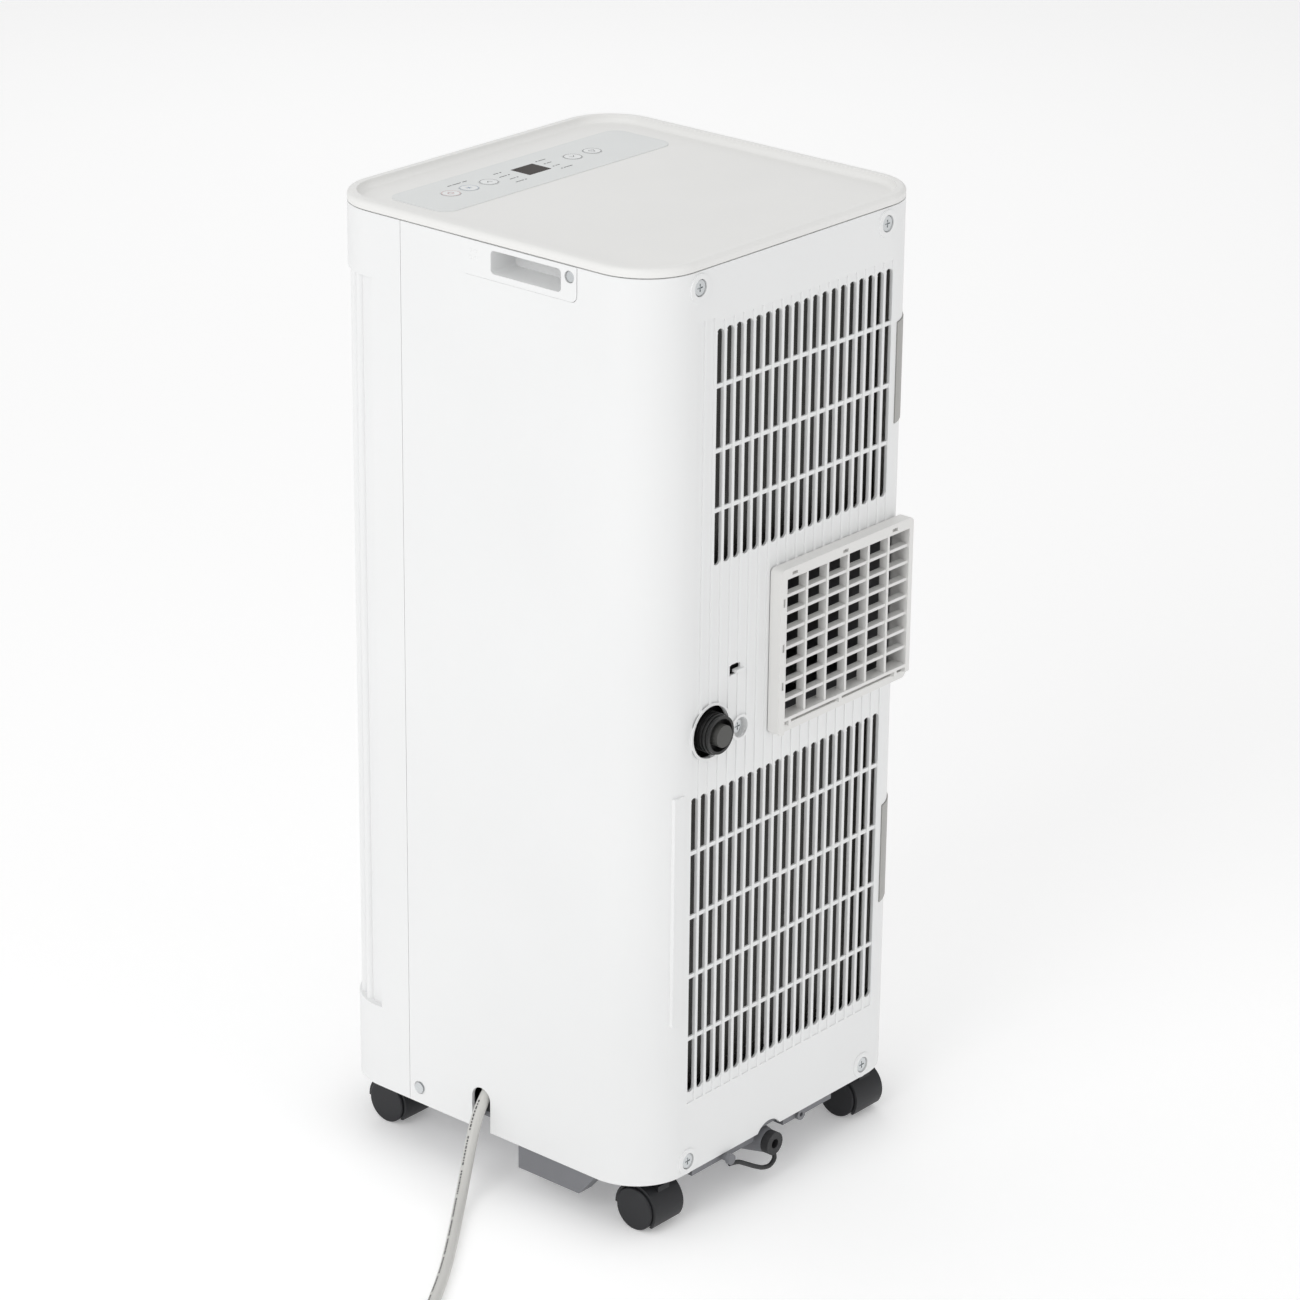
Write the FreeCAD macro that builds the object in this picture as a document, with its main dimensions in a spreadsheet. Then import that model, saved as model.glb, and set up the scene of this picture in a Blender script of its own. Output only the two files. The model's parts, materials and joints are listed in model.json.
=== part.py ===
"""Portable air conditioner on four castors, built as an assembly of separate sub-parts.

The origin is on the floor under the centre of the casing. +Z is up, -Y is the front with
the air outlet, +Y the rear with the two intake grilles, and +X the side with the mains cord.
All sizes are in millimetres.
"""
import FreeCAD, Part
import math
import os
import re

from FreeCAD import Placement, Rotation, Vector

doc = FreeCAD.newDocument("PortableAirConditioner")
sheet = doc.addObject("Spreadsheet::Sheet", "Dimensions")

DIMENSIONS = [
    # Casing
    ("width", 292), ("depth", 295), ("corner", 42), ("wall", 2.5), ("fit", 0.3),
    ("base_z", 39), ("side_top", 697), ("top_z", 704), ("seam_y", -73.6),
    # Rear grilles
    ("slot_pitch", 9.9), ("slot_width", 7.3), ("slot_start", 95.5), ("fin_depth", 2.6),
    ("upper_low", 488), ("upper_high", 653), ("lower_low", 102), ("lower_high", 325),
    ("rib_height", 3), ("groove_depth", 0.8), ("groove_high", 662),
    # Corner screws
    ("screw_x", 98), ("screw_high", 686), ("screw_low", 49),
    ("boss_radius", 9.5), ("counterbore", 6), ("head_radius", 5.2),
    # Exhaust outlet
    ("outlet_left", 19.5), ("outlet_right", -126), ("outlet_low", 348.5), ("outlet_high", 470),
    ("outlet_out", 10), ("outlet_wall", 3), ("grid_bar", 2.2),
    # Upper drain
    ("drain_x", 80.3), ("drain_z", 369.3), ("drain_ring", 20.5), ("drain_recess", 18.7),
    # Lower drain
    ("low_drain_x", 8.0), ("low_drain_z", 28.5), ("stopper_radius", 8.6),
    # Filters
    ("filter_y", 128), ("filter_thick", 3.5), ("filter_top", 663), ("filter_mid", 339),
    # Front
    ("recess_low", 103), ("recess_high", 651.5), ("recess_depth", 4.8), ("recess_end", -101),
    ("throat_half", 92), ("throat_low", 548), ("throat_high", 634),
    # Side handle and cord notch
    ("handle_start", -18), ("handle_end", 84), ("handle_low", 673),
    ("grip_start", 8.6), ("grip_end", 70.5), ("grip_low", 679.5), ("grip_high", 693.5),
    ("grip_deep", 24), ("notch_y", -4), ("notch_radius", 8.7), ("notch_top", 72),
    # Top
    ("rim", 7), ("tray_z", 698.5), ("key_radius", 6.8), ("key_y", -88),
    # Castors
    ("castor_x", 113), ("castor_y", 120), ("castor_trail", 6), ("wheel_radius", 16),
    ("wheel_outer", 17), ("wheel_inner", 7), ("axle_radius", 2.5), ("hood_radius", 18.6),
    # Mains cord
    ("cord_radius", 4.4), ("coil_x", 363.7), ("coil_y", 196.8), ("coil_middle", 50),
    ("coil_half", 10.5), ("coil_height", 28), ("plug_radius", 18.5),
]
for row, (alias, value) in enumerate(DIMENSIONS, start=1):
    sheet.set(f"A{row}", alias)
    sheet.set(f"B{row}", str(value))
    sheet.setAlias(f"B{row}", alias)
doc.recompute()
D = dict(DIMENSIONS)

AXES = {
    "x": Rotation(Vector(0, 1, 0), 90),
    "y": Rotation(Vector(1, 0, 0), -90),
    "z": Rotation(),
    "-y": Rotation(Vector(1, 0, 0), 90),
}
nodes = []


# ---------------------------------------------------------------- small building blocks

def bind(thing, prop, value):
    """Bind a property to a formula in the sheet's dimension names, or to a plain number."""
    if isinstance(value, str):
        formula = re.sub(r"([a-z][a-z_]*)", r"Dimensions.\1", value)
    else:
        formula = f"{value:.4f}"
    thing.setExpression(prop, formula)


def place(thing, base, rotation=None):
    """Turn a thing first, then bind where its own origin goes."""
    if rotation is not None:
        thing.Placement = Placement(Vector(), rotation)
    for letter, value in zip("xyz", base):
        bind(thing, f"Placement.Base.{letter}", value)
    return thing


def box(size, corner, rotation=None):
    thing = doc.addObject("Part::Box", "Block")
    for prop, value in zip(("Length", "Width", "Height"), size):
        bind(thing, prop, value)
    return place(thing, corner, rotation)


def span(x, y, z):
    """A box from its lowest and highest value along each axis."""
    size = [f"({high})-({low})" for low, high in (x, y, z)]
    return box(size, [low for low, high in (x, y, z)])


def rod(radius, length, base, axis="z"):
    thing = doc.addObject("Part::Cylinder", "Rod")
    bind(thing, "Radius", radius)
    bind(thing, "Height", length)
    return place(thing, base, AXES[axis])


def cone(radius_1, radius_2, length, base, axis="z"):
    thing = doc.addObject("Part::Cone", "Taper")
    bind(thing, "Radius1", radius_1)
    bind(thing, "Radius2", radius_2)
    bind(thing, "Height", length)
    return place(thing, base, AXES[axis])


def fuse(*things):
    joined = doc.addObject("Part::MultiFuse", "Joined")
    joined.Shapes = list(things)
    joined.Refine = True
    return joined


def group(things):
    """Several cutting tools that don't touch each other, as one."""
    together = doc.addObject("Part::Compound", "Tools")
    together.Links = list(things)
    return together


def cut(base, tool):
    result = doc.addObject("Part::Cut", "Trimmed")
    result.Base = base
    result.Tool = tool
    return result


def common(base, tool):
    result = doc.addObject("Part::Common", "Kept")
    result.Base = base
    result.Tool = tool
    return result


def rounded(base, radius, wanted):
    """Round the edges that wanted(edge) picks."""
    doc.recompute()
    result = doc.addObject("Part::Fillet", "Rounded")
    result.Base = base
    edges = enumerate(base.Shape.Edges, start=1)
    result.Edges = [(i, radius, radius) for i, edge in edges if wanted(edge)]
    return result


def upright(edge):
    tangent = edge.tangentAt(edge.FirstParameter)
    return abs(tangent.z) > 0.99


def circular(edge):
    return isinstance(edge.Curve, Part.Circle)


def rim_edge(height):
    """Edges that lie flat at one height."""
    def test(edge):
        bounds = edge.BoundBox
        return abs(bounds.ZMin - height) < 0.01 and abs(bounds.ZMax - height) < 0.01
    return test


def column(inset, low, high, radius=None):
    """An upright block of the casing's plan, drawn in by inset, with round corners."""
    radius = D["corner"] - inset if radius is None else radius
    half_x, half_y = f"width/2-{inset}", f"depth/2-{inset}"
    block = span((f"0-({half_x})", half_x), (f"0-({half_y})", half_y), (low, high))
    return rounded(block, radius, upright)


def node(name, thing):
    """Name a finished sub-part."""
    thing.Label = name
    nodes.append(thing)
    return thing


def feature(name, shape):
    thing = doc.addObject("Part::Feature", name)
    thing.Shape = shape
    return thing


# ---------------------------------------------------------------- casing

def slot_columns(first, low, high, front, back):
    """Upright slots with round ends, one for each grille column from the first on."""
    for i in range(first, 21):
        x = f"slot_start-{i}*slot_pitch"
        half = "slot_width/2"
        length = f"({back})-({front})"
        yield span((f"{x}-{half}", f"{x}+{half}"), (front, back), (f"{low}+{half}", f"{high}-{half}"))
        for z in (f"{low}+{half}", f"{high}-{half}"):
            yield rod(half, length, (x, front, z), "y")


def grille_cutter(first, low, high):
    """All slots of a grille. The ribs that cross them are put back afterwards."""
    return fuse(*slot_columns(first, low, high, "depth/2-fin_depth-5", "depth/2+5"))


def grille_ribs(first, heights):
    left, right = f"slot_start-{first}*slot_pitch+5", "slot_start-20*slot_pitch-5"
    for z in heights:
        yield span((right, left), ("depth/2-fin_depth+0.2", "depth/2-1"),
                   (f"{z}-rib_height/2", f"{z}+rib_height/2"))


UPPER_RIBS = (526.8, 568.6, 613.6)
LOWER_RIBS = (143.6, 191.2, 236.2, 284.2)


TAB_HEIGHTS = ((539, 612), (174, 250))


def corner_skin(outside, inside, reach, low, high):
    """A curved strip of the rear corner at -X, between two depths from the casing's surface."""
    ring = cut(column(outside, low, high), column(inside, low - 1, high + 1))
    return common(ring, span((-160, reach), (117.6, 160), (low, high)))


def low_corner(edge):
    """The handle plate's lower corners, whose edges run along X."""
    ahead = edge.tangentAt(edge.FirstParameter)
    return abs(ahead.x) > 0.99 and edge.BoundBox.ZMax < D["handle_low"] + 1


def rear_casing():
    """Sides and rear in one moulding, with both intake grilles."""
    tube = cut(column(0, "base_z", "side_top"), column(D["wall"], "base_z-1", "side_top+1"))
    shell = common(tube, span(("0-width", "width"), ("seam_y", "depth"), (0, "top_z")))
    right, left = "slot_start-20*slot_pitch-8", "slot_start+8"
    blocks = []
    for low, high in (("upper_low", "upper_high"), ("lower_low", "lower_high")):
        blocks.append(span((right, left), ("depth/2-fin_depth", "depth/2-1"), (f"{low}-5", f"{high}+5")))
    # The strip beside the lower grille, and the raised rings round the screws and drain
    blocks.append(span((107, 117), ("depth/2-3", "depth/2+0.9"), (160, 330.7)))
    for x in ("screw_x", "0-screw_x"):
        for z in ("screw_low", "screw_high"):
            blocks.append(rod("boss_radius", 10, (x, "depth/2-9", z), "y"))
    blocks.append(rod("drain_ring", "3.2", ("drain_x", "depth/2-2.2", "drain_z"), "y"))
    blocks.append(rod(9.2, 7.8, (49.1, "depth/2-7", 362.9), "y"))
    body = fuse(shell, *blocks)

    cutters = [grille_cutter(2, "upper_low", "upper_high"), grille_cutter(0, "lower_low", "lower_high")]
    grooves = []
    for i in range(21):
        x = f"slot_start-{i}*slot_pitch"
        high = "groove_high" if i < 2 else "upper_high"
        low = "lower_high" if i < 2 else "upper_high-1"
        sides = (f"{x}-slot_width/2", f"{x}+slot_width/2")
        face = ("depth/2-groove_depth", "depth/2+0.3")
        if i >= 2:
            grooves.append(span(sides, face, ("upper_high-2", "upper_high+6")))
        grooves.append(span(sides, face, ("lower_high-2", "upper_low+2" if i > 1 else high)))
        grooves.append(span(sides, face, ("lower_low-8", "lower_low+2")))
    cutters.append(group(grooves))
    holes = []
    for x in ("screw_x", "0-screw_x"):
        for z in ("screw_low", "screw_high"):
            holes.append(rod("counterbore", 10, (x, "depth/2-2", z), "y"))
            holes.append(rod(2.2, 20, (x, "depth/2-12", z), "y"))
    holes.append(rod("drain_recess", 20, ("drain_x", "depth/2-10", "drain_z"), "y"))
    holes.append(rod(7.4, 10, (49.1, "depth/2-5", 362.9), "y"))
    holes.append(rod(2, 20, (49.1, "depth/2-12", 362.9), "y"))
    # Opening for the exhaust outlet, and the latch window
    holes.append(span(("outlet_right+outlet_wall-fit", "outlet_left-outlet_wall+fit"),
                      ("depth/2-30", "depth/2+30"),
                      ("outlet_low+outlet_wall-fit", "outlet_high-outlet_wall+fit")))
    holes.append(span((49, 61), ("depth/2-10", "depth/2+10"), (403.5, 411)))
    # Slots at the rear corner for the two filters and their pull tabs
    holes.append(span(("0-width/2-5", -120), ("filter_y-fit", "filter_y+filter_thick+fit"),
                      (480, "filter_top+fit")))
    holes.append(span(("0-width/2-5", -120), ("filter_y-fit", "filter_y+filter_thick+fit"),
                      (94, "filter_mid+fit")))
    for low, high in TAB_HEIGHTS:
        holes.append(corner_skin(-3, 1.6, -113.6, low - 0.4, high + 0.4))
    # Side openings: the handle inserts, the cord notch and a screw
    for low, high in (("0-width", "0-width/2+20"), ("width/2-20", "width")):
        seat = span((low, high), ("handle_start-fit", "handle_end+fit"), ("handle_low-fit", "side_top+5"))
        holes.append(rounded(seat, 5.3, low_corner))
    holes.append(rod("notch_radius", 30, ("width/2-20", "notch_y", "notch_top-notch_radius"), "x"))
    holes.append(span(("width/2-20", "width"), ("notch_y-notch_radius", "notch_y+notch_radius"),
                      (0, "notch_top-notch_radius")))
    for x in ("width/2-1.2", "0-width/2-9"):
        holes.append(rod(5, 10.2, (x, -64.2, 51.3), "x"))
    for x in ("width/2-12", "0-width/2-2"):
        holes.append(rod(2, 14, (x, -64.2, 51.3), "x"))
    holes.append(rod(15, 20, ("low_drain_x", "depth/2-10", "low_drain_z+2"), "y"))
    holes.append(fuse(*cutters))
    trimmed = cut(body, fuse(*holes))
    ribs = [*grille_ribs(2, UPPER_RIBS), *grille_ribs(0, LOWER_RIBS)]
    latch = span((47, 56), ("depth/2-2", "depth/2+2.2"), (405, 407))
    return node("rear_casing", fuse(trimmed, *ribs, latch))


def flute_places():
    """Centres and turns of the upright flutes across the recessed front, corners included."""
    spacing = 11.5
    for i in range(-8, 9):
        yield i * spacing, -D["depth"] / 2 + D["recess_depth"]
    arc_x = D["width"] / 2 - D["corner"]
    arc_y = -D["depth"] / 2 + D["corner"]
    reach = D["corner"] - D["recess_depth"]
    for side in (-1, 1):
        for degrees in (10, 30, 50, 70):
            angle = math.radians(degrees)
            yield side * (arc_x + reach * math.sin(angle)), arc_y - reach * math.cos(angle)


def front_panel():
    """Front moulding: bands above and below a recessed fluted face with the air outlet."""
    front_half = span(("0-width", "width"), ("0-depth", "seam_y-0.4"), (0, "top_z"))
    tube = cut(column(0, "base_z", "side_top"), column(D["wall"], "base_z-1", "side_top+1"))
    shell = common(tube, front_half)
    around = column(-3, "recess_low", "recess_high")
    zone = cut(around, column(D["recess_depth"], "recess_low-1", "recess_high+1"))
    zone = common(zone, span(("0-width", "width"), ("0-depth", "recess_end"), (0, "top_z")))
    inner = column(D["recess_depth"] + D["wall"], "base_z", "side_top")
    skin = cut(column(D["recess_depth"], "recess_low-wall", "recess_high+wall"), inner)
    skin = common(skin, span(("0-width", "width"), ("0-depth", "recess_end+wall"), (0, "top_z")))
    outer = cut(column(1, "recess_low-wall", "recess_high+wall"),
                column(D["recess_depth"] + 1, "recess_low", "recess_high"))
    step = cut(common(outer, span(("0-width", "width"), ("0-depth", "recess_end+wall"), (0, "top_z"))), inner)
    body = cut(fuse(shell, skin, step), zone)
    flutes = []
    for x, y in flute_places():
        flutes.append(rod(3.2, "recess_high-recess_low", (x, y, "recess_low")))
    body = fuse(body, *flutes)
    throat = span(("0-throat_half", "throat_half"), ("0-depth", -90), ("throat_low", "throat_high"))
    surround = cut(span(("0-throat_half-5", "throat_half+5"), ("0-depth/2+2", "0-depth/2+26"),
                        ("throat_low-5", "throat_high+5")), throat)
    body = fuse(cut(body, throat), surround)
    pins = []
    for x in ("0-throat_half-6", "throat_half-1"):
        for i in range(BLADES):
            pins.append(rod(2.1, 7, (x, BLADE_Y, blade_z(i)), "x"))
    return node("front_panel", cut(body, group(pins)))


BLADES = 4
BLADE_Y = -134


def blade_z(i):
    return f"throat_low+(throat_high-throat_low)*(2*{i}+1)/{2 * BLADES}"


def louvres():
    """Tilting blades across the air outlet, and the bar that links them."""
    for i in range(BLADES):
        z = blade_z(i)
        blade = span(("0-throat_half+1", "throat_half-1"), (BLADE_Y - 8, BLADE_Y + 8),
                     (f"{z}-0.9", f"{z}+0.9"))
        pivot = rod(2, "2*throat_half+8", ("0-throat_half-4", BLADE_Y, z), "x")
        lug = span((60, 62), (BLADE_Y + 2, BLADE_Y + 12), (f"{z}-2", f"{z}+2"))
        node(f"louvre_{i + 1}", fuse(blade, pivot, lug))


def top_cover():
    """Shallow tray with a raised rim, set into the casing."""
    plate = column(0, "side_top+0.8", "top_z")
    skirt = column(D["wall"] + 0.4, "side_top-6", "side_top+1")
    hollow = column(D["wall"] + 2.6, "side_top-7", "tray_z-2.5")
    plate = rounded(plate, 3, rim_edge(D["top_z"]))
    tray = rounded(column(D["rim"], "tray_z", "top_z+10", 34), 4, rim_edge(D["tray_z"]))
    holes = [rod("key_radius+fit", 20, (x, "key_y", "tray_z-10")) for x in KEY_PLACES.values()]
    holes.append(span(("0.5-11.2", "0.5+11.2"), ("key_y-9.3", "key_y+9.3"), ("tray_z-10", "tray_z+10")))
    for low, high in (("0-width/2+1", "0-width/2+20"), ("width/2-20", "width/2-1")):
        holes.append(span((low, high), ("handle_start-1", "handle_end+1"), ("side_top-8", "side_top+0.3")))
    for x in ("screw_x", "0-screw_x"):
        holes.append(span((f"{x}-12", f"{x}+12"), ("depth/2-20", "depth/2-1"),
                          ("side_top-8", "side_top+0.3")))
    body = cut(cut(fuse(plate, skirt), hollow), tray)
    return node("top_cover", cut(body, group(holes)))


KEY_PLACES = {
    "power_key": 81.2,
    "mode_key": 63.2,
    "down_key": 43.3,
    "up_key": -42.7,
    "fan_key": -63.1,
}


def controls():
    """Overlay film, display window, five keys and the board under them."""
    film = rounded(span((-118, 118), (-115, -58), ("tray_z", "tray_z+0.4")), 12, upright)
    holes = [rod("key_radius+fit", 4, (x, "key_y", "tray_z-2")) for x in KEY_PLACES.values()]
    window = (("0.5-11", "0.5+11"), ("key_y-9", "key_y+9"))
    holes.append(span(("0.5-11.1", "0.5+11.1"), ("key_y-9.1", "key_y+9.1"), ("tray_z-2", "tray_z+2")))
    node("control_overlay", cut(film, group(holes)))
    node("display_window", span(*window, ("tray_z-2.5", "tray_z+0.5")))
    for name, x in KEY_PLACES.items():
        cap = rod("key_radius", 2.6, (x, "key_y", "tray_z-2"))
        stem = rod(2, 4, (x, "key_y", "tray_z-5"))
        node(name, fuse(cap, stem))
    board = span((-105, 105), (-112, -64), ("tray_z-9.5", "tray_z-7.9"))
    parts = [rod(2.6, 2.2, (x, "key_y", "tray_z-8")) for x in KEY_PLACES.values()]
    parts.append(span((-10, 11), ("key_y-8", "key_y+8"), ("tray_z-8", "tray_z-3")))
    node("display_board", fuse(board, *parts))


def carry_handle(name, side):
    """Cup let into a side wall, with a bar to lift by. side is 1 for +X and -1 for -X."""
    face = f"{side}*(width/2)"

    def across(near, far):
        ends = [f"{face}-{side}*({near})", f"{face}-{side}*({far})"]
        return ends if side < 0 else ends[::-1]

    plate = span(across(-0.4, 2.6), ("handle_start", "handle_end"), ("handle_low", "side_top"))
    plate = rounded(plate, 5, low_corner)
    cup = span(across(1, "grip_deep+2"), ("grip_start-2", "grip_end+2"), ("grip_low-4", "grip_high+2"))
    hollow = span(across(-2, "grip_deep"), ("grip_start", "grip_end"), ("grip_low-2", "grip_high"))
    hollow = rounded(hollow, 3, lambda edge: abs(edge.tangentAt(edge.FirstParameter).x) > 0.99)
    recess = rod(4.2, 10, (f"{face}-2.4" if side > 0 else f"{face}-7.6", 77.7, 689.6), "x")
    hole = rod(1.8, 16, (f"{face}-8", 77.7, 689.6), "x")
    return node(name, cut(fuse(plate, cup), fuse(hollow, recess, hole)))


# ---------------------------------------------------------------- exhaust and drains

def exhaust_frame():
    """Flanged outlet the hose adaptor clips over, with a finger guard of six by eight cells."""
    face = ("depth/2+0.2", "depth/2+outlet_out")
    flange = span(("outlet_right", "outlet_left"), face, ("outlet_low", "outlet_high"))
    flange = rounded(flange, 4, lambda edge: abs(edge.tangentAt(edge.FirstParameter).y) > 0.99)
    sleeve = span(("outlet_right+outlet_wall", "outlet_left-outlet_wall"), ("depth/2-5", "depth/2+1"),
                  ("outlet_low+outlet_wall", "outlet_high-outlet_wall"))
    clear_x = ("outlet_right+outlet_wall*1.5", "outlet_left-6.4")
    clear_z = ("outlet_low+11.8", "outlet_high-7.7")
    opening = span(clear_x, ("depth/2-30", "depth/2+30"), clear_z)
    behind = span(("outlet_right+outlet_wall+2", "outlet_left-outlet_wall-2"), ("depth/2-26", "depth/2-1"),
                  ("outlet_low+outlet_wall+2", "outlet_high-outlet_wall-2"))
    body = cut(fuse(flange, sleeve), fuse(opening, behind))
    bars = []
    for i in range(1, 6):
        x = f"({clear_x[0]})+({clear_x[1]}-({clear_x[0]}))*{i}/6"
        bars.append(span((f"{x}-grid_bar/2", f"{x}+grid_bar/2"), ("depth/2+2.5", "depth/2+outlet_out-0.8"),
                         (f"{clear_z[0]}-1", f"{clear_z[1]}+1")))
    for i in range(1, 8):
        z = f"({clear_z[0]})+({clear_z[1]}-({clear_z[0]}))*{i}/8"
        bars.append(span((f"{clear_x[0]}-1", f"{clear_x[1]}+1"), ("depth/2+2.5", "depth/2+outlet_out-1.6"),
                         (f"{z}-grid_bar/2", f"{z}+grid_bar/2")))
    body = fuse(body, *bars)
    clips = []
    for x in (5, -50, -105):
        clips.append(span((x - 3, x + 3), ("depth/2+outlet_out-3", "depth/2+30"),
                          ("outlet_high-5.6", "outlet_high-3.2")))
    for z in (385, 413, 446):
        clips.append(span(("outlet_left-4.6", "outlet_left-2.6"), ("depth/2+outlet_out-3", "depth/2+30"),
                          (z - 3, z + 3)))
    # Channel under the guard, crossed by three stubs, and the lower lip standing back from the rim
    for low, high in ((-121.5, -111.8), (-109.2, -49.7), (-47.1, 5.9), (8.5, 13.1)):
        channel = span((low, high), ("depth/2+1", "depth/2+30"), ("outlet_low+5.4", "outlet_low+9.4"))
        hollow = span((low, high), ("depth/2+1", "depth/2+outlet_out-4.8"),
                      ("outlet_low+1.2", "outlet_low+6"))
        clips.append(fuse(channel, hollow))
    clips.append(span(("outlet_right-5", 13.1), ("depth/2+outlet_out-3.2", "depth/2+30"),
                      ("outlet_low-5", "outlet_low+5.4")))
    return node("exhaust_frame", cut(body, group(clips)))


def hollow_box(x, y, z, wall, open_faces):
    """A box shell, with each named face (such as "x+" or "z-") left open."""
    outer = span(x, y, z)
    inner = []
    for letter, (low, high) in zip("xyz", (x, y, z)):
        low = f"({low})-1" if letter + "-" in open_faces else f"({low})+{wall}"
        high = f"({high})+1" if letter + "+" in open_faces else f"({high})-{wall}"
        inner.append((low, high))
    return cut(outer, span(*inner))


def upper_drain():
    """Threaded spout in its round recess, the screw cap on it and the rubber plug in that."""
    flange = rod("drain_recess+2", 3, ("drain_x", "depth/2-13.5", "drain_z"), "y")
    pipe = rod(8, 20, ("drain_x", "depth/2-16.5", "drain_z"), "y")
    stub = rod(11, 40, ("drain_x", "depth/2-52", "drain_z"), "y")
    bore = rod(6.6, 80, ("drain_x", "depth/2-54", "drain_z"), "y")
    node("drain_spout_upper", cut(fuse(flange, pipe, stub), bore))
    ring = rod(13.5, 16.5, ("drain_x", "depth/2-7", "drain_z"), "y")
    threads = [ring]
    for i in range(4):
        threads.append(rod(14.3, 1.4, ("drain_x", f"depth/2-3.5+{i}*3", "drain_z"), "y"))
    inside = rod(8.1, 30, ("drain_x", "depth/2-9", "drain_z"), "y")
    mouth = rod(11.6, 8, ("drain_x", "depth/2+3.5", "drain_z"), "y")
    node("drain_cap_upper", cut(fuse(*threads), fuse(inside, mouth)))
    stem = rod(5.6, 8, ("drain_x", "depth/2-3", "drain_z"), "y")
    head = rod(7.9, 8.5, ("drain_x", "depth/2+4", "drain_z"), "y")
    node("drain_plug_upper", fuse(stem, head))


def lower_drain():
    """Rubber stopper in the base pan's spout, and the strap that keeps it."""
    body = rod("stopper_radius", 6.4, ("low_drain_x", "depth/2-0.4", "low_drain_z"), "y")
    stem = rod(5.9, 14, ("low_drain_x", "depth/2-13.8", "low_drain_z"), "y")
    hollow = rod(3.6, 5.5, ("low_drain_x", "depth/2+1", "low_drain_z"), "y")
    node("drain_plug_lower", cut(fuse(body, stem), hollow))
    route = [(5.3, 150.3, 19.6), (3.9, 150.4, 14), (9.5, 150.6, 10.4), (18, 150.8, 12.2),
             (27, 150.8, 17), (36, 150.6, 22.6), (45, 150, 28), (54.2, 149.5, 29.6)]
    strap = tube_along(route, 1.7)
    node("drain_tether", feature("Strap", strap))


# ---------------------------------------------------------------- base and castors

def base_pan():
    """Moulded pan that carries everything: floor, walls, castor sockets, spout and side block."""
    plate = column(3.2, 40, 44, 38)
    walls = cut(column(3.2, 43, 72, 38), column(6.2, 42, 90, 35))
    under = span((-95, 95), (-125, 118), (34, 41))
    under = rounded(under, 12, upright)
    rear_left = span((20, 88), (100, 143.5), (31.5, 41))
    rear_right = span((-68, -13), (100, 143.5), (31.5, 41))
    side = span((128, 141.5), (27.7, 101), (18, 42))
    wedge = box((40, 40, 60), (120, 85, 18), Rotation(Vector(1, 0, 0), -40))
    side = cut(side, wedge)
    sockets = []
    for x in ("castor_x", "0-castor_x"):
        for y in ("castor_y", "0-castor_y"):
            sockets.append(rod(9, 26, (x, y, 38.2)))
    spout = cone(12.5, 8.6, 19.6, ("low_drain_x", "depth/2-20.2", "low_drain_z"), "y")
    neck = span(("low_drain_x-11", "low_drain_x+11"), (110, 128), (24, 41))
    eye = rod(4.4, 12, (-31, 134, 34), "y")
    hook = rod(2.6, 12, (56.6, 141, 35.5), "y")
    knob = rod(4, 3, (56.6, 151, 35.5), "y")
    body = fuse(plate, walls, under, rear_left, rear_right, side, *sockets, spout, neck, eye, hook, knob)
    holes = []
    for x in ("castor_x", "0-castor_x"):
        for y in ("castor_y", "0-castor_y"):
            holes.append(rod(4.06, 24, (x, y, 36)))
    holes.append(rod(6, 60, ("low_drain_x", "depth/2-48", "low_drain_z"), "y"))
    holes.append(rod(1.7, 30, (-31, 130, 34), "y"))
    holes.append(span(("width/2-16", "width"), ("notch_y-notch_radius-3", "notch_y+notch_radius+3"),
                      (36, 90)))
    for x in ("screw_x", "0-screw_x"):
        holes.append(rod("boss_radius+0.6", 30, (x, "depth/2-20", "screw_low"), "y"))
    return node("base_pan", cut(body, fuse(*holes)))


def castor(index, sign_x, sign_y):
    """Hooded twin-wheel castor: its housing on a swivel stem, and the wheel pair on an axle."""
    x, y = f"{sign_x}*castor_x", f"{sign_y}*castor_y"
    hub_y = f"{y}+castor_trail"
    centre_z = "wheel_radius"
    hood = rod("hood_radius", "2*wheel_outer-4", (f"{x}-wheel_outer+2", hub_y, centre_z), "x")
    inside = rod("hood_radius-2", "2*wheel_outer+8", (f"{x}-wheel_outer-4", hub_y, centre_z), "x")
    below = span((f"{x}-40", f"{x}+40"), (f"{hub_y}-40", f"{hub_y}-2"), ("0-20", f"{centre_z}-1"))
    floor_gap = span((f"{x}-40", f"{x}+40"), (f"{hub_y}-40", f"{hub_y}+40"), ("0-20", 5))
    web = span((f"{x}-wheel_inner+1", f"{x}+wheel_inner-1"), (f"{hub_y}-8", f"{hub_y}+13"), (10, 33.5))
    crown = rod(8.6, 5, (x, y, 33))
    stem = rod(4, 22, (x, y, 34))
    shell = cut(cut(hood, inside), fuse(below, floor_gap))
    bore = rod("axle_radius+0.06", 60, (f"{x}-30", hub_y, centre_z), "x")
    node(f"castor_housing_{index}", cut(fuse(shell, web, crown, stem), bore))
    discs = []
    for low, high in (("wheel_inner", "wheel_outer"), ("0-wheel_outer", "0-wheel_inner")):
        disc = rod("wheel_radius", f"({high})-({low})", (f"{x}+{low}", hub_y, centre_z), "x")
        discs.append(rounded(disc, 1.2, circular))
    axle = rod("axle_radius", "2*wheel_outer-2", (f"{x}-wheel_outer+1", hub_y, centre_z), "x")
    node(f"castor_wheels_{index}", fuse(*discs, axle))


# ---------------------------------------------------------------- machinery inside

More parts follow.
